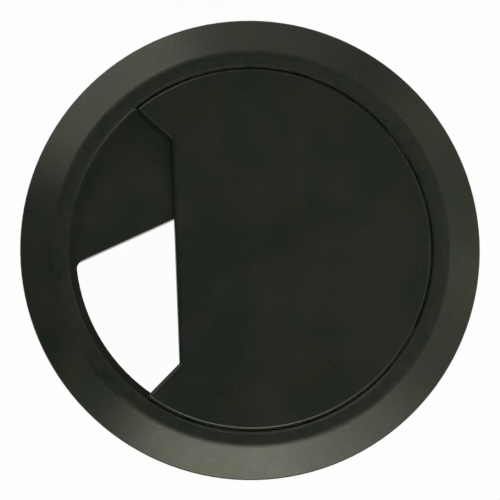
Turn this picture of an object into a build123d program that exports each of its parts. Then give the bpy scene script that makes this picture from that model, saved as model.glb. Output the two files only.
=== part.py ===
from build123d import *

import os
from math import cos, radians, sin

# Desk cable grommet, moulded in two pieces. A flanged liner drops into a round hole in a
# desk top. A cap with a notch snaps into the liner's seat, where it lies just below the
# lip and turns, so that the shutter web in the liner's floor closes more or less of the notch.
# Frame: millimetres, +Z up and out of the desk, origin at the centre of the hole on the
# desk's top face. The cap's notch faces -X.

# Desk hole and sleeve
HOLE_DIAMETER = 60.0
HOLE_CLEARANCE = 0.25  # radial, from the hole to the sleeve
SLEEVE_LENGTH = 17.0  # below the desk's top face
SLEEVE_WALL = 1.8
SLEEVE_LEAD_IN = 0.8  # chamfer round the sleeve's lower end

# Grip ribs that steady the sleeve in its hole
GRIP_RIB_COUNT = 12
GRIP_RIB_WIDTH = 1.6
GRIP_RIB_HEIGHT = 0.2
GRIP_RIB_TOP_GAP = 1.5  # from the flange down to a rib's upper end
GRIP_RIB_RUN_OUT = 3.0  # length over which a rib's lower end fades into the sleeve

# Flange on the desk top
FLANGE_OVERHANG = 5.0  # past the edge of the hole
FLANGE_HEIGHT = 3.0
FLANGE_EDGE_HEIGHT = 0.8
FLANGE_EDGE_ROUND = 0.3
FLANGE_SKIN = 1.4  # height of plastic left over the hollow under the flange
FLANGE_FOOT_WIDTH = 1.5  # ring between the sleeve and that hollow

# Seat for the cap
SEAT_WALL = 2.05  # from the sleeve's outside to the wall round the cap
SEAT_LIP_CHAMFER = 0.45
SEAT_FOOT_WIDTH = 0.3  # shallow bevel where the ledge meets that wall
SEAT_FOOT_HEIGHT = 0.15
LAND_WIDTH = 2.0  # flat ring round the cap
LAND_ROUND = 3.0  # where the flat ring turns into the slope

# Floor plate with its shutter web
FLOOR_THICKNESS = 1.6
LEDGE_WIDTH = 1.15
SHUTTER_ANGLE = 112.5  # direction of the middle of the web, anticlockwise from +X
SHUTTER_OVERLAP = 2.4  # reach under the cap past the back of the notch, when shut
SHUTTER_CORNER_ROUND = 1.4
SHUTTER_RIB_WIDTH = 1.4
SHUTTER_RIB_DEPTH = 2.5

# Cap
CAP_THICKNESS = 2.4
CAP_RECESS = 0.3  # from the flat ring down to the cap's top face
CAP_CLEARANCE = 0.18  # radial, from the cap to the wall of its seat
CAP_EDGE_ROUND = 0.6
CAP_FOOT_CLEARANCE = 0.1  # by which the cap's foot chamfer is wider than the bevel at the seat's foot
CAP_PLATE = 1.6  # thickness within the rim
CAP_RIM_WIDTH = 2.4
CAP_RIB_WIDTH = 1.2

# Notch in the cap
NOTCH_DEPTH = 16.02  # from the cap's edge to the straight back of the notch
NOTCH_WIDTH = 33.8  # length of the straight back
NOTCH_FLARE_ANGLE = 43.5  # of each slanted side, from the direction the notch faces
NOTCH_CORNER_ROUND = 0.3

# Snap beads on the cap's edge, and their groove in the seat
SNAP_BITE = 0.2  # how far a bead reaches past the wall of the seat
SNAP_CLEARANCE = 0.2  # between a bead and its groove
SNAP_BEAD_BASE = 0.9  # height of a bead where it leaves the cap
SNAP_BEAD_TIP = 0.3
SNAP_BEAD_ARC = 14.0
SNAP_BEAD_ANGLES = (-100.0, -35.0, 35.0, 100.0)

# Radii and heights that follow from the sizes above
HOLE_RADIUS = HOLE_DIAMETER / 2
SLEEVE_RADIUS = HOLE_RADIUS - HOLE_CLEARANCE
SLEEVE_BORE = SLEEVE_RADIUS - SLEEVE_WALL
SLEEVE_MID_WALL = (SLEEVE_RADIUS + SLEEVE_BORE) / 2
FLANGE_RADIUS = HOLE_RADIUS + FLANGE_OVERHANG
SEAT_RADIUS = SLEEVE_RADIUS - SEAT_WALL
LAND_RADIUS = SEAT_RADIUS + LAND_WIDTH
LEDGE_RADIUS = SEAT_RADIUS - LEDGE_WIDTH
FLOOR_TOP = FLANGE_HEIGHT - CAP_RECESS - CAP_THICKNESS
FLOOR_BOTTOM = FLOOR_TOP - FLOOR_THICKNESS
CAP_RADIUS = SEAT_RADIUS - CAP_CLEARANCE
CAP_FOOT_CHAMFER = SEAT_FOOT_WIDTH + CAP_FOOT_CLEARANCE
NOTCH_BACK = CAP_RADIUS - NOTCH_DEPTH
SHUTTER_EDGE = NOTCH_BACK - SHUTTER_OVERLAP
SNAP_HEIGHT = FLOOR_TOP + CAP_THICKNESS / 2


def outline_through(*points):
    """A flat closed outline with straight sides."""
    return make_face(Polyline(*points, close=True))


def turned(outline, arc=360.0):
    """The solid that an outline in radius and height sweeps about the hole's axis."""
    return revolve(Plane.XZ * outline, Axis.Z, arc)


def round_corner(outline, point, radius):
    """The outline with the corner nearest to a point rounded."""
    return fillet(outline.vertices().sort_by_distance((*point, 0))[0], radius)


def liner_wall():
    """Flange, wall of the seat and sleeve, turned as one section."""
    rim = (FLANGE_RADIUS, FLANGE_EDGE_HEIGHT)
    land = (LAND_RADIUS, FLANGE_HEIGHT)
    ledge_middle = SEAT_RADIUS - LEDGE_WIDTH / 2
    outline = outline_through(
        (SLEEVE_BORE, -SLEEVE_LENGTH),
        (SLEEVE_RADIUS - SLEEVE_LEAD_IN, -SLEEVE_LENGTH),
        (SLEEVE_RADIUS, SLEEVE_LEAD_IN - SLEEVE_LENGTH),
        (SLEEVE_RADIUS, 0),
        (FLANGE_RADIUS, 0),
        rim,
        land,
        (SEAT_RADIUS + SEAT_LIP_CHAMFER, FLANGE_HEIGHT),
        (SEAT_RADIUS, FLANGE_HEIGHT - SEAT_LIP_CHAMFER),
        (SEAT_RADIUS, FLOOR_TOP + SEAT_FOOT_HEIGHT),
        (SEAT_RADIUS - SEAT_FOOT_WIDTH, FLOOR_TOP),
        (ledge_middle, FLOOR_TOP),
        (ledge_middle, FLOOR_BOTTOM),
        (SLEEVE_BORE, FLOOR_BOTTOM),
    )
    outline = round_corner(outline, rim, FLANGE_EDGE_ROUND)
    outline = round_corner(outline, land, LAND_ROUND)
    return turned(outline)


def flange_hollow():
    """Hollow under the flange, with a roof that follows the slope above it."""
    slope = (FLANGE_HEIGHT - FLANGE_EDGE_HEIGHT) / (FLANGE_RADIUS - LAND_RADIUS)
    inner = SLEEVE_RADIUS + FLANGE_FOOT_WIDTH
    outer = LAND_RADIUS + (FLANGE_HEIGHT - FLANGE_SKIN) / slope
    roof = slope * (outer - inner)
    return turned(outline_through((inner, 0), (outer, 0), (inner, roof)))


def snap_section(clearance):
    """Section of a snap bead, or of its groove when grown by the clearance."""
    base = SNAP_BEAD_BASE / 2 + clearance
    tip = SNAP_BEAD_TIP / 2 + clearance
    root = CAP_RADIUS - CAP_CLEARANCE
    crest = SEAT_RADIUS + SNAP_BITE + clearance
    return outline_through(
        (root, SNAP_HEIGHT - base),
        (CAP_RADIUS, SNAP_HEIGHT - base),
        (crest, SNAP_HEIGHT - tip),
        (crest, SNAP_HEIGHT + tip),
        (CAP_RADIUS, SNAP_HEIGHT + base),
        (root, SNAP_HEIGHT + base),
    )


def floor_opening():
    """Cable opening seen from above: a circle cut off straight by the shutter web."""
    span = 2 * SLEEVE_RADIUS
    opening = Circle(LEDGE_RADIUS) - Pos(SHUTTER_EDGE + span / 2, 0) * Rectangle(span, span)
    return fillet(opening.vertices(), SHUTTER_CORNER_ROUND)


def floor_plate():
    """Ledge all round, the web across one side, and a rib under the web's free edge."""
    plate = extrude(Circle(SLEEVE_MID_WALL) - floor_opening(), FLOOR_THICKNESS)
    strip = Pos(SHUTTER_EDGE + SHUTTER_RIB_WIDTH / 2, 0) * Rectangle(SHUTTER_RIB_WIDTH, 2 * SLEEVE_RADIUS)
    rib = extrude(strip & Circle(SLEEVE_MID_WALL), -SHUTTER_RIB_DEPTH)
    return Pos(0, 0, FLOOR_BOTTOM) * Rot(0, 0, SHUTTER_ANGLE) * (plate + rib)


def grip_rib():
    """One low upright rib on the sleeve that fades out at its lower end."""
    crest = SLEEVE_RADIUS + GRIP_RIB_HEIGHT
    top = -GRIP_RIB_TOP_GAP
    bottom = SLEEVE_LEAD_IN - SLEEVE_LENGTH
    outline = outline_through(
        (SLEEVE_MID_WALL, top),
        (crest, top),
        (crest, bottom + GRIP_RIB_RUN_OUT),
        (SLEEVE_RADIUS, bottom),
        (SLEEVE_MID_WALL, bottom),
    )
    return extrude(Plane.XZ * outline, GRIP_RIB_WIDTH / 2, both=True)


def build_liner():
    """The flanged liner as it leaves its mould."""
    liner = liner_wall() + floor_plate()
    liner -= flange_hollow()
    liner -= turned(snap_section(SNAP_CLEARANCE))
    liner += PolarLocations(0, GRIP_RIB_COUNT) * grip_rib()
    return liner


def notch(margin=0.0):
    """The notch seen from above, grown into the cap by a margin, open past the cap's edge."""
    flare = radians(NOTCH_FLARE_ANGLE)
    back = NOTCH_BACK - margin
    half = NOTCH_WIDTH / 2 + margin * (1 - sin(flare)) / cos(flare)
    mouth = back + 2 * CAP_RADIUS * cos(flare)
    mouth_half = half + 2 * CAP_RADIUS * sin(flare)
    return outline_through((-back, -half), (-back, half), (-mouth, mouth_half), (-mouth, -mouth_half))


def cap_outline():
    """The cap seen from above: a disc with a notch that flares towards the edge."""
    outline = Circle(CAP_RADIUS) - notch()
    for side in (-NOTCH_WIDTH / 2, NOTCH_WIDTH / 2):
        outline = round_corner(outline, (-NOTCH_BACK, side), NOTCH_CORNER_ROUND)
    return outline


def cap_hollow():
    """Hollow in the underside, within the rim and between two crossed ribs."""
    hollow = Circle(CAP_RADIUS - CAP_RIM_WIDTH) - notch(CAP_RIM_WIDTH)
    hollow -= Rectangle(2 * CAP_RADIUS, CAP_RIB_WIDTH)
    hollow -= Pos((CAP_RADIUS - NOTCH_BACK) / 2, 0) * Rectangle(CAP_RIB_WIDTH, 2 * CAP_RADIUS)
    return extrude(hollow, CAP_THICKNESS - CAP_PLATE)


def build_cap():
    """The notched cap, turned so that its notch faces -X."""
    cap = extrude(cap_outline(), CAP_THICKNESS)
    rim = cap.faces().sort_by(Axis.Z)[0].edges().sort_by(SortBy.LENGTH)[-1]
    cap = chamfer(rim, CAP_FOOT_CHAMFER)
    cap = fillet(cap.faces().sort_by(Axis.Z)[-1].edges(), CAP_EDGE_ROUND)
    cap = Pos(0, 0, FLOOR_TOP) * (cap - cap_hollow())
    bead = turned(snap_section(0), SNAP_BEAD_ARC)
    for angle in SNAP_BEAD_ANGLES:
        cap += Rot(0, 0, angle - SNAP_BEAD_ARC / 2) * bead
    return cap


os.makedirs("parts", exist_ok=True)
export_step(build_liner(), "parts/flanged_liner.step")
export_step(build_cap(), "parts/notched_cap.step")
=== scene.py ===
import logging
import math
from dataclasses import dataclass
from enum import Enum
from typing import Callable

import bpy
import numpy as np
from mathutils import Matrix, Vector


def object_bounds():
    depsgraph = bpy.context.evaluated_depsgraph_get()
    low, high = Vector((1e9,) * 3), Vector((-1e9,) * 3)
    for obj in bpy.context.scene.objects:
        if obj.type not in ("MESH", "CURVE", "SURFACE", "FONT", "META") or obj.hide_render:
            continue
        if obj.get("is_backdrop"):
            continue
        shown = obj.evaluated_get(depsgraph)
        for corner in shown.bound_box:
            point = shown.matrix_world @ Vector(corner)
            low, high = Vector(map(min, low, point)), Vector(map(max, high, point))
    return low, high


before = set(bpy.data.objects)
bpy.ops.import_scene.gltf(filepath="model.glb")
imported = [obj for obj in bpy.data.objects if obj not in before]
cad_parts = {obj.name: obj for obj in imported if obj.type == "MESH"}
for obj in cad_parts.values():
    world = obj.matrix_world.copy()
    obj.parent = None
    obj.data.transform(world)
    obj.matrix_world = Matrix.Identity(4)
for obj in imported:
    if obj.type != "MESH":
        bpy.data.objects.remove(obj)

log = logging.getLogger("desk_grommet")

MM = 0.001
IMAGE_SIDE = 500
WHITE = (1.0, 1.0, 1.0, 1.0)

# Red, green and blue in linear light.
Colour = tuple[float, float, float]
# What fades in is 0 at the first value and 1 at the second, which may be the lower one.
Fade = tuple[float, float]


class Field:
    """A number that varies over a surface: a socket whose operators add Math nodes."""

    def __init__(self, graph: "Graph", socket: bpy.types.NodeSocket) -> None:
        """Wraps an output socket of a graph."""
        self.graph = graph
        self.socket = socket

    def math(self, operation: str, *others: "Field | float") -> "Field":
        """Adds one Math node with this field as its first operand.

        Args:
            operation: Blender's name for the operation.
            others: the further operands, fields or plain numbers.

        Returns:
            The result as a new field.
        """
        operands = dict(enumerate((self, *others)))
        return self.graph.field("ShaderNodeMath", {"operation": operation}, operands)

    def after(self, operation: str, other: float) -> "Field":
        """Adds one Math node with a plain number first and this field second."""
        return self.graph.field("ShaderNodeMath", {"operation": operation}, {0: other, 1: self})

    def __add__(self, other: "Field | float") -> "Field":
        """The sum."""
        return self.math("ADD", other)

    __radd__ = __add__

    def __sub__(self, other: "Field | float") -> "Field":
        """This less the other."""
        return self.math("SUBTRACT", other)

    def __rsub__(self, other: float) -> "Field":
        """The other less this."""
        return self.after("SUBTRACT", other)

    def __mul__(self, other: "Field | float") -> "Field":
        """The product."""
        return self.math("MULTIPLY", other)

    __rmul__ = __mul__

    def __truediv__(self, other: "Field | float") -> "Field":
        """This over the other."""
        return self.math("DIVIDE", other)

    def __rtruediv__(self, other: float) -> "Field":
        """The other over this."""
        return self.after("DIVIDE", other)

    def __abs__(self) -> "Field":
        """The size without the sign."""
        return self.math("ABSOLUTE")

    def most(self, other: "Field | float") -> "Field":
        """The larger of the two."""
        return self.math("MAXIMUM", other)

    def rise(self, low: float, high: float) -> "Field":
        """An eased step: 3t^2 - 2t^3, where t goes evenly from 0 at low to 1 at high.

        Args:
            low: where the result is 0.
            high: where the result is 1; it may lie below low, and the result then falls.

        Returns:
            The eased field, from 0 to 1.
        """
        ends = {"Value": self, "From Min": min(low, high), "From Max": max(low, high)}
        eased = self.graph.field("ShaderNodeMapRange", {"interpolation_type": "SMOOTHSTEP"}, ends)
        return eased if low < high else 1.0 - eased

    def near(self, place: float, reach: float) -> "Field":
        """1 at a place, falling to 0 at the reach on either side of it."""
        return abs(self - place).rise(reach, 0.0)

    def swing(self, size: float) -> "Field":
        """Noise that lies about 0.5, moved to lie about 0 and multiplied by a size."""
        return (self - 0.5) * size


class Graph:
    """The node tree of one material or of the world."""

    def __init__(self, tree: bpy.types.NodeTree) -> None:
        """Empties the tree and keeps it."""
        self.tree = tree
        tree.nodes.clear()

    def node(self, kind: str, settings: dict | None = None, sockets: dict | None = None) -> bpy.types.Node:
        """Adds any node.

        Args:
            kind: the node's type name.
            settings: properties, which are set first.
            sockets: numbers, colours, fields or output sockets for the inputs, by name or index.

        Returns:
            The new node.
        """
        made = self.tree.nodes.new(kind)
        for name, value in (settings or {}).items():
            setattr(made, name, value)
        for name, value in (sockets or {}).items():
            value = value.socket if isinstance(value, Field) else value
            if isinstance(value, bpy.types.NodeSocket):
                self.tree.links.new(value, made.inputs[name])
            else:
                made.inputs[name].default_value = value
        return made

    def field(self, kind: str, settings: dict | None = None, sockets: dict | None = None) -> Field:
        """Adds any node and wraps its first output as a field."""
        return Field(self, self.node(kind, settings, sockets).outputs[0])

    def vector(self, x: Field, y: Field, z: Field) -> bpy.types.NodeSocket:
        """A vector from its three parts."""
        return self.node("ShaderNodeCombineXYZ", None, {0: x, 1: y, 2: z}).outputs[0]

    def noise(self, at: bpy.types.NodeSocket, size: float, detail: float = 2.0) -> Field:
        """Soft noise about 0.5, with lumps of a given size in the units of its vector."""
        sockets = {"Vector": at, "Scale": 1.0 / size, "Detail": detail}
        return self.field("ShaderNodeTexNoise", {"noise_dimensions": "3D"}, sockets)

    def blend(
        self, factor: Field, first: Colour | bpy.types.NodeSocket, second: Colour
    ) -> bpy.types.NodeSocket:
        """A colour that goes from the first to the second with the factor.

        Args:
            factor: 0 for the first colour, 1 for the second.
            first: a plain colour, or the socket of an earlier blend.
            second: a plain colour.

        Returns:
            The blend's colour socket.
        """
        first = first if isinstance(first, bpy.types.NodeSocket) else (*first, 1.0)
        made = self.node("ShaderNodeMix", {"data_type": "RGBA"}, {0: factor, 6: first, 7: (*second, 1.0)})
        return made.outputs[2]


class Place:
    """Where a point of a piece lies, in millimetres, read from Object coordinates."""

    def __init__(self, graph: Graph) -> None:
        """Adds the nodes that give the place.

        Args:
            graph: the graph of the material that reads it.
        """
        self.graph = graph
        metres = graph.node("ShaderNodeTexCoord").outputs["Object"]
        scaled = graph.node("ShaderNodeVectorMath", {"operation": "SCALE"}, {0: metres, "Scale": 1.0 / MM})
        self.vector = scaled.outputs[0]
        parts = graph.node("ShaderNodeSeparateXYZ", None, {0: self.vector})
        self.x, self.y, self.z = (Field(graph, socket) for socket in parts.outputs)
        self.radius = (self.x * self.x + self.y * self.y).math("SQRT")

    def across(self, azimuth: float) -> Field:
        """How far out a point lies along a direction, which is given in degrees from +X."""
        turn = math.radians(azimuth)
        return self.x * math.cos(turn) + self.y * math.sin(turn)

    def round_the_axis(self, turn_scale: float, radius_scale: float) -> bpy.types.NodeSocket:
        """A vector in which noise is drawn out round the axis: the direction, and the radius for height.

        Args:
            turn_scale: how many lumps of noise lie along one radian of turn.
            radius_scale: how many lie along one millimetre of radius.

        Returns:
            The vector's socket.
        """
        reach = self.radius.most(1.0)
        east = self.x / reach * turn_scale
        north = self.y / reach * turn_scale
        return self.graph.vector(east, north, self.radius * radius_scale)


@dataclass(frozen=True)
class Clouds:
    """Black that drifts between a green, a brown, a cool and a faded cast; sizes in millimetres."""

    green: Colour
    brown: Colour
    cool: Colour = (0.0080, 0.0111, 0.0134)
    faded: Colour = (0.0125, 0.0170, 0.0135)
    brown_size: float = 6.8
    brown_shown: Fade = (0.37, 0.63)
    cool_size: float = 4.6
    cool_shown: Fade = (0.42, 0.68)
    cool_share: float = 0.8
    faded_size: float = 13.0
    faded_shown: Fade = (0.42, 0.66)
    faded_share: float = 0.7
    fine_detail: float = 3.0

    def drift(self, place: Place) -> Field:
        """The noise between green and brown."""
        return place.graph.noise(place.vector, self.brown_size, self.fine_detail)

    def colour(self, place: Place, drift: Field) -> bpy.types.NodeSocket:
        """Blends the casts, each where its own noise is high.

        Args:
            place: where the point lies.
            drift: the noise between green and brown.

        Returns:
            The colour's socket.
        """
        graph = place.graph
        haze = graph.noise(place.vector, self.cool_size, self.fine_detail)
        bloom = graph.noise(place.vector, self.faded_size)
        colour = graph.blend(drift.rise(*self.brown_shown), self.green, self.brown)
        colour = graph.blend(haze.rise(*self.cool_shown) * self.cool_share, colour, self.cool)
        return graph.blend(bloom.rise(*self.faded_shown) * self.faded_share, colour, self.faded)


class RubWay(Enum):
    """Which way the fine rub marks on a moulding run."""

    ROUND = "round the axis"
    STRAIGHT = "straight across"


@dataclass(frozen=True)
class RubMarks:
    """Faint drawn-out marks of rubbing, by how many lie in a millimetre or a radian."""

    way: RubWay
    across_mm: float = 3.5
    along_mm: float = 0.09
    along_radian: float = 7.0
    shown: Fade = (0.55, 0.75)

    def field(self, place: Place) -> Field:
        """Noise stretched along the way the marks run, kept where it is high.

        Args:
            place: where the point lies.

        Returns:
            The marks, from 0 to 1.
        """
        if self.way is RubWay.ROUND:
            drawn = place.round_the_axis(self.along_radian, self.across_mm)
        else:
            drawn = place.graph.vector(place.x * self.along_mm, place.y * self.across_mm, place.z)
        return place.graph.noise(drawn, 1.0).rise(*self.shown)


@dataclass(frozen=True)
class DustSpecks:
    """Sparse specks of dust, about two tenths of a millimetre across."""

    cells_per_mm: float = 0.35
    chance: Fade = (0.55, 0.95)
    shown: Fade = (0.06, 0.02)
    ragged_size: float = 0.12
    ragged_depth: float = 0.12

    def field(self, place: Place) -> Field:
        """Spots at the middles of some cells: the distance to the middle plus noise, kept where it is low.

        Args:
            place: where the point lies.

        Returns:
            The specks, from 0 to 1.
        """
        graph = place.graph
        sockets = {"Vector": place.vector, "Scale": self.cells_per_mm}
        cells = graph.node("ShaderNodeTexVoronoi", {"voronoi_dimensions": "2D"}, sockets).outputs
        drawn = graph.field("ShaderNodeSeparateColor", None, {0: cells["Color"]})
        ragged = graph.noise(place.vector, self.ragged_size).swing(self.ragged_depth)
        spots = Field(graph, cells["Distance"]) + ragged
        return spots.rise(*self.shown) * drawn.rise(*self.chance)


@dataclass(frozen=True)
class Marks:
    """Where use shows on a piece, from 0 to 1: rubbed edges, on the liner's lip also a painted highlight;
    walls that hold pale dust and are lightened with painted light in their shade; and dull corners.
    """

    edge: Field
    gap: Field
    dull: Field


@dataclass(frozen=True)
class MouldedPlastic:
    """Black plastic with the fine grain of a spark-eroded mould, a little handled; sizes in millimetres.

    The marks of handling fade in between two heights, on the side that faces up out of the desk.
    """

    clouds: Clouds
    rub: RubMarks
    handled: Fade
    specks: DustSpecks = DustSpecks()
    # Lighter grey of rubbed edges; on the liner's lip it also serves as a painted highlight.
    worn_and_highlight: Colour = (0.020, 0.0255, 0.0172)
    dust: Colour = (0.045, 0.046, 0.042)
    # Pale grey of dust in the gap, which also paints light into the gap's shade.
    lint_and_gap_light: Colour = (0.14, 0.14, 0.118)
    edge_share: float = 0.7
    rub_share: float = 0.2
    speck_share: float = 0.7
    patch_size: float = 1.6
    edge_patches: Fade = (0.25, 0.65)
    lint_and_gap_light_patches: Fade = (0.1, 0.6)
    grain_size: float = 0.30
    grain_detail: float = 3.0
    grain_depth: float = 0.007
    under_grain: float = 0.25
    edge_flattening: float = 0.2
    roughness: float = 0.30
    cloud_roughness: float = 0.10
    patch_roughness: float = 0.07
    grain_roughness: float = 0.12
    dull_roughness: float = 0.55
    edge_polish: float = 0.03
    rub_polish: float = 0.015

    def material(self, name: str, marks_at: Callable[[Place], Marks]) -> bpy.types.Material:
        """Makes the finish.

        Args:
            name: the material's name.
            marks_at: gives the piece's own marks of use at a place.

        Returns:
            The material, with its nodes in place.
        """
        made = bpy.data.materials.new(name)
        made.use_nodes = True
        graph = Graph(made.node_tree)
        place = Place(graph)
        marks = marks_at(place)
        cloud = self.clouds.drift(place)
        patch = graph.noise(place.vector, self.patch_size)
        grain = graph.noise(place.vector, self.grain_size, self.grain_detail)
        show = place.z.rise(*self.handled)
        edge = marks.edge * patch.rise(*self.edge_patches)
        rubbed = self.rub.field(place) * show
        colour = self.clouds.colour(place, cloud)
        # Edges and rub marks go towards the lighter grey: wear, and on the liner's lip also a painted
        # highlight.
        colour = graph.blend(edge * self.edge_share + rubbed * self.rub_share, colour, self.worn_and_highlight)
        colour = graph.blend(self.specks.field(place) * show * self.speck_share, colour, self.dust)
        # Pale dust on the walls in the gap, which is also painted light over their shade.
        colour = graph.blend(marks.gap * patch.rise(*self.lint_and_gap_light_patches), colour, self.lint_and_gap_light)
        rough = self.roughness + cloud.swing(self.cloud_roughness)
        rough = rough + patch.swing(self.patch_roughness) + grain.swing(self.grain_roughness)
        rough = rough + marks.dull * self.dull_roughness - edge * self.edge_polish - rubbed * self.rub_polish
        height = grain * (self.under_grain + show * (1.0 - self.under_grain)) - edge * self.edge_flattening
        relief = {"Strength": 1.0, "Distance": self.grain_depth * MM, "Height": height}
        bump = graph.node("ShaderNodeBump", None, relief).outputs[0]
        surface = {"Base Color": colour, "Roughness": rough, "Normal": bump}
        shader = graph.node("ShaderNodeBsdfPrincipled", None, surface).outputs[0]
        graph.node("ShaderNodeOutputMaterial", None, {"Surface": shader})
        return made


@dataclass
class FlangedLiner:
    """The moulding that lines the desk's hole; radii, heights and reaches in millimetres."""

    node: str = "flanged_liner"
    seat_radius: float = 27.7
    lip_radius: float = 27.95
    rim_radius: float = 34.9
    web_edge: float = 9.1
    web_azimuth: float = 112.5
    web_top: float = 0.3
    lip_reach: float = 0.4
    rim_reach: float = 0.35
    web_reach: float = 0.25
    web_depth: float = 0.3
    wall_reach: float = 0.12
    top_fade: Fade = (2.2, 2.7)
    land_fade: Fade = (27.95, 28.25)
    slope_fade: Fade = (30.3, 29.7)
    rim_fade: Fade = (0.3, 0.6)
    gap_lint_and_light_low_fade: Fade = (0.5, 0.9)
    gap_lint_and_light_high_fade: Fade = (2.65, 2.35)
    foot_fade: Fade = (27.25, 27.4)
    foot_height_fade: Fade = (0.9, 0.6)
    wall_fade: Fade = (27.95, 27.7)
    land_wear: float = 0.6
    web_wear: float = 0.3
    finish: MouldedPlastic = MouldedPlastic(
        clouds=Clouds(green=(0.0022, 0.0108, 0.0068), brown=(0.0112, 0.0114, 0.0060)),
        rub=RubMarks(RubWay.ROUND),
        handled=(-0.2, 0.1),
    )

    def dress(self) -> bpy.types.Object:
        """Gives the liner its finish.

        Returns:
            The liner's object.
        """
        return dress_node(self.node, self.finish.material("liner_black_plastic", self._marks))

    def _marks(self, place: Place) -> Marks:
        """Rubbed lip, flat ring, rim and web edge, the lip also lightened as a painted highlight; pale dust
        and painted light on the seat's wall; a dull foot of that wall.

        Args:
            place: where the point lies.

        Returns:
            The liner's marks of use.
        """
        radius, height = place.radius, place.z
        top = height.rise(*self.top_fade)
        # The lip's band takes the lighter grey as wear and as a painted highlight.
        lip = radius.near(self.lip_radius, self.lip_reach) * top
        land = radius.rise(*self.land_fade) * radius.rise(*self.slope_fade) * top * self.land_wear
        rim = radius.near(self.rim_radius, self.rim_reach) * height.rise(*self.rim_fade)
        web = place.across(self.web_azimuth).near(self.web_edge, self.web_reach)
        web = web * height.near(self.web_top, self.web_depth) * self.web_wear
        # The seat's wall in the gap gets pale dust and painted light over its shade.
        gap = radius.near(self.seat_radius, self.wall_reach)
        gap = gap * height.rise(*self.gap_lint_and_light_high_fade) * height.rise(*self.gap_lint_and_light_low_fade)
        foot = radius.rise(*self.foot_fade) * radius.rise(*self.wall_fade)
        foot = foot * height.rise(*self.foot_height_fade)
        return Marks(edge=lip.most(land).most(rim).most(web), gap=gap, dull=foot)


@dataclass
class NotchedCap:
    """The cap that turns in the liner's seat; sizes in millimetres, and the inset is from its edges."""

    node: str = "notched_cap"
    radius: float = 27.52
    notch_back: float = 11.5
    notch_half_width: float = 16.9
    flare_angle: float = 43.5
    inset_fade: Fade = (0.45, 0.05)
    top_fade: Fade = (1.9, 2.4)
    side_fade: Fade = (27.32, 27.47)
    side_height_fade: Fade = (2.5, 2.2)
    under_fade: Fade = (1.7, 0.9)
    notch_wear: float = 0.3
    finish: MouldedPlastic = MouldedPlastic(
        clouds=Clouds(green=(0.0018, 0.0108, 0.0066), brown=(0.0110, 0.0112, 0.0058)),
        rub=RubMarks(RubWay.STRAIGHT),
        handled=(1.7, 2.0),
    )

    def dress(self) -> bpy.types.Object:
        """Gives the cap its finish.

        Returns:
            The cap's object.
        """
        return dress_node(self.node, self.finish.material("cap_black_plastic", self._marks))

    def _marks(self, place: Place) -> Marks:
        """Rubbed rim and notch, by the distance to the edge; pale dust and painted light on the round side
        in the gap; a dull underside.

        Args:
            place: where the point lies.

        Returns:
            The cap's marks of use.
        """
        flare = math.radians(self.flare_angle)
        back = place.x + self.notch_back
        side = back * math.sin(flare) + (abs(place.y) - self.notch_half_width) * math.cos(flare)
        rim = (self.radius - place.radius).rise(*self.inset_fade)
        notch = back.most(side).rise(*self.inset_fade) * self.notch_wear
        edge = rim.most(notch) * place.z.rise(*self.top_fade)
        # The cap's round side in the gap gets pale dust and painted light over its shade.
        gap = place.radius.rise(*self.side_fade) * place.z.rise(*self.side_height_fade)
        return Marks(edge=edge, gap=gap, dull=place.z.rise(*self.under_fade))


def dress_node(name: str, finish: bpy.types.Material) -> bpy.types.Object:
    """Puts a finish into every material slot of a CAD node's object.

    Args:
        name: the node's name.
        finish: the material.

    Returns:
        The node's object.
    """
    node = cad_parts[name]
    for slot in node.material_slots:
        slot.material = finish
    return node


@dataclass(frozen=True)
class StudioPaper:
    """White paper that glows where it is seen, keeps the shadow by the sleeve and is clear from below.

    The glow is the share of plain white in what is seen, less in a ring at the sleeve's foot,
    whose radius and reach are in millimetres.
    """

    colour: Colour = (0.9, 0.9, 0.9)
    glow: float = 0.97
    foot_glow: float = 0.5
    foot_radius: float = 31.0
    foot_reach: float = 3.7

    def material(self) -> bpy.types.Material:
        """Makes the paper's material.

        Returns:
            The material, with its nodes in place.
        """
        made = bpy.data.materials.new("studio_paper")
        made.use_nodes = True
        graph = Graph(made.node_tree)
        rays = graph.node("ShaderNodeLightPath").outputs
        seen = Field(graph, rays["Is Camera Ray"])
        for kind in ("Is Glossy Ray", "Is Transmission Ray"):
            seen = seen.most(Field(graph, rays[kind]))
        foot = Place(graph).radius.near(self.foot_radius, self.foot_reach)
        share = seen * (self.glow - foot * (self.glow - self.foot_glow))
        paper = graph.node("ShaderNodeBsdfDiffuse", None, {"Color": (*self.colour, 1.0)}).outputs[0]
        light = graph.node("ShaderNodeEmission", None, {"Color": WHITE, "Strength": 1.0}).outputs[0]
        front = graph.node("ShaderNodeMixShader", None, {0: share, 1: paper, 2: light}).outputs[0]
        clear = graph.node("ShaderNodeBsdfTransparent").outputs[0]
        under = graph.node("ShaderNodeNewGeometry").outputs["Backfacing"]
        both = graph.node("ShaderNodeMixShader", None, {0: under, 1: front, 2: clear}).outputs[0]
        graph.node("ShaderNodeOutputMaterial", None, {"Surface": both})
        return made


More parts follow.
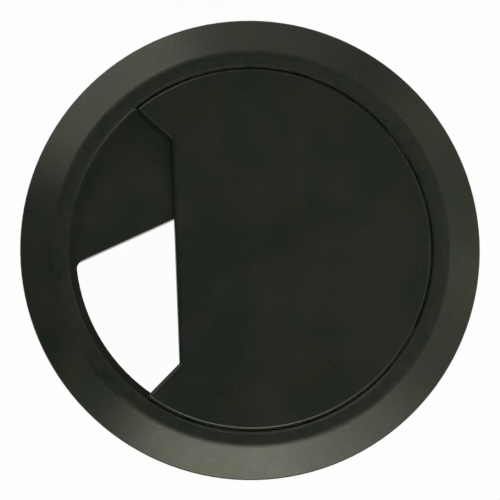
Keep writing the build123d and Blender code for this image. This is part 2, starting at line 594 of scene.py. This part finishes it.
@dataclass
class PaperSweep:
    """Round paper floor that rises into a low wall all round; sizes in metres."""

    height: float
    flat_reach: float = 3.0
    reach: float = 4.0
    wall: float = 0.32
    rings: int = 24
    sides: int = 96

    def build(self) -> bpy.types.Object:
        """Lays the floor as a profile carried round the axis.

        The radius grows evenly to the reach. The height stays level to the end of the flat,
        and from there rises as the square of the way to the reach.

        Returns:
            The floor's object, marked as stage.
        """
        radius = np.linspace(0.0, self.reach, self.rings + 1)[1:]
        climb = np.clip((radius - self.flat_reach) / (self.reach - self.flat_reach), 0.0, 1.0)
        level = np.repeat((self.height + self.wall * climb**2)[:, None], self.sides, axis=1)
        turn = np.linspace(0.0, 2.0 * np.pi, self.sides, endpoint=False)
        grid = np.stack((np.outer(radius, np.cos(turn)), np.outer(radius, np.sin(turn)), level), axis=-1)
        points = np.vstack(([[0.0, 0.0, self.height]], grid.reshape(-1, 3)))
        number = 1 + np.arange(self.rings * self.sides).reshape(self.rings, self.sides)
        ahead = np.roll(number, -1, axis=1)
        quads = np.stack((number[:-1], number[1:], ahead[1:], ahead[:-1]), axis=-1).reshape(-1, 4)
        fan = np.stack((np.zeros(self.sides, int), number[0], ahead[0]), axis=-1)
        mesh = bpy.data.meshes.new("studio_floor")
        mesh.from_pydata(points.tolist(), [], quads.tolist() + fan.tolist())
        mesh.shade_smooth()
        mesh.materials.append(StudioPaper().material())
        floor = bpy.data.objects.new("studio_floor", mesh)
        bpy.context.scene.collection.objects.link(floor)
        floor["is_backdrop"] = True
        return floor


class LampTint(Enum):
    """The colours of the studio's lamps."""

    PLAIN = (1.0, 1.0, 0.82)
    TAN = (1.0, 0.985, 0.79)
    WARM = (1.0, 0.99, 0.72)


@dataclass(frozen=True)
class SoftBox:
    """A studio lamp that faces the object; degrees from +X and above level, metres and watts."""

    name: str
    azimuth: float
    elevation: float
    width: float
    power: float
    height: float = 0.4
    tint: LampTint = LampTint.PLAIN
    distance: float = 1.0

    def build(self) -> bpy.types.Object:
        """Hangs the lamp at its place.

        Returns:
            The lamp's object.
        """
        lamp = bpy.data.lights.new(self.name, "AREA")
        lamp.shape = "RECTANGLE"
        lamp.size = self.width
        lamp.size_y = self.height
        lamp.energy = self.power
        lamp.color = self.tint.value
        turn = math.radians(self.azimuth)
        rise = math.radians(self.elevation)
        away = Vector((math.cos(rise) * math.cos(turn), math.cos(rise) * math.sin(turn), math.sin(rise)))
        made = bpy.data.objects.new(self.name, lamp)
        made.location = away * self.distance
        made.rotation_mode = "QUATERNION"
        made.rotation_quaternion = away.to_track_quat("Z", "Y")
        bpy.context.scene.collection.objects.link(made)
        return made


STUDIO_LAMPS = (
    SoftBox("front_lamp", azimuth=262.8, elevation=46.0, width=0.61, power=3.3, tint=LampTint.TAN),
    SoftBox("front_middle_lamp", azimuth=285.0, elevation=44.0, width=0.4, power=0.5),
    SoftBox("front_right_lamp", azimuth=302.0, elevation=38.0, width=0.43, power=1.2),
    SoftBox("right_lamp", azimuth=338.0, elevation=36.0, width=0.7, power=0.64, tint=LampTint.WARM),
    SoftBox("back_right_lamp", azimuth=18.0, elevation=36.0, width=0.8, power=0.66, tint=LampTint.WARM),
    SoftBox("far_back_lamp", azimuth=60.0, elevation=36.0, width=0.8, power=0.25, tint=LampTint.WARM),
    SoftBox("back_lamp", azimuth=88.0, elevation=36.0, width=0.7, power=0.43),
    SoftBox("left_lamp", azimuth=124.0, elevation=36.0, width=0.72, power=1.83),
    SoftBox("far_left_lamp", azimuth=226.0, elevation=36.0, width=0.5, power=0.2, tint=LampTint.WARM),
    SoftBox("top_lamp", azimuth=20.0, elevation=70.0, width=0.5, power=0.2, height=0.5),
    SoftBox("low_back_lamp", azimuth=95.0, elevation=12.0, width=1.2, power=0.88, height=0.22),
)


@dataclass(frozen=True)
class RoomLight:
    """The even light of the room round the object."""

    level: float = 0.15
    colour: Colour = (1.0, 1.0, 0.85)

    def build(self) -> bpy.types.World:
        """Fills the room.

        Returns:
            The scene's world.
        """
        world = bpy.data.worlds.new("studio_room")
        world.use_nodes = True
        graph = Graph(world.node_tree)
        sockets = {"Color": (*self.colour, 1.0), "Strength": self.level}
        room = graph.node("ShaderNodeBackground", None, sockets).outputs[0]
        graph.node("ShaderNodeOutputWorld", None, {"Surface": room})
        bpy.context.scene.world = world
        return world


@dataclass(frozen=True)
class PhotoCamera:
    """Camera high over the cap, leaning a few degrees to the front left; azimuths in degrees from +X."""

    distance: float = 0.6
    lean: float = 5.31
    lean_azimuth: float = 226.6
    up_azimuth: float = 87.8
    pixels_per_mm: float = 6.58
    aim_height: float = 0.45 * MM
    axis_pixel: tuple[float, float] = (250.71, 249.59)
    sensor_width: float = 36.0
    clip: tuple[float, float] = (0.01, 10.0)

    def build(self) -> bpy.types.Object:
        """Places the camera so that the hole's axis falls on its pixel.

        Returns:
            The camera's object.
        """
        lean, turn, up = (math.radians(angle) for angle in (self.lean, self.lean_azimuth, self.up_azimuth))
        back = Vector((math.sin(lean) * math.cos(turn), math.sin(lean) * math.sin(turn), math.cos(lean)))
        right = Vector((math.cos(up), math.sin(up), 0.0)).cross(back).normalized()
        above = back.cross(right)
        step = MM / self.pixels_per_mm
        aim = Vector((0.0, 0.0, self.aim_height))
        aim += right * ((IMAGE_SIDE / 2 - self.axis_pixel[0]) * step)
        aim -= above * ((IMAGE_SIDE / 2 - self.axis_pixel[1]) * step)
        data = bpy.data.cameras.new("photo_camera")
        data.sensor_width = self.sensor_width
        data.lens = self.pixels_per_mm / MM * self.distance * self.sensor_width / IMAGE_SIDE
        data.clip_start, data.clip_end = self.clip
        made = bpy.data.objects.new("photo_camera", data)
        axes = Matrix((right, above, back)).transposed().to_4x4()
        made.matrix_world = Matrix.Translation(aim + back * self.distance) @ axes
        bpy.context.scene.collection.objects.link(made)
        bpy.context.scene.camera = made
        return made


def main() -> None:
    """Dresses the two mouldings and sets up floor, lamps, room and camera."""
    logging.basicConfig(level=logging.INFO, format="%(name)s: %(message)s")
    cad_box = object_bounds()
    bpy.context.scene.view_settings.view_transform = "Standard"
    for moulding in (FlangedLiner(), NotchedCap()):
        log.info("dressed %s", moulding.dress().name)
    log.info("laid %s", PaperSweep(height=cad_box[0].z).build().name)
    for lamp in STUDIO_LAMPS:
        log.info("hung %s", lamp.build().name)
    log.info("lit %s", RoomLight().build().name)
    log.info("placed %s", PhotoCamera().build().name)


if __name__ == "__main__":
    main()
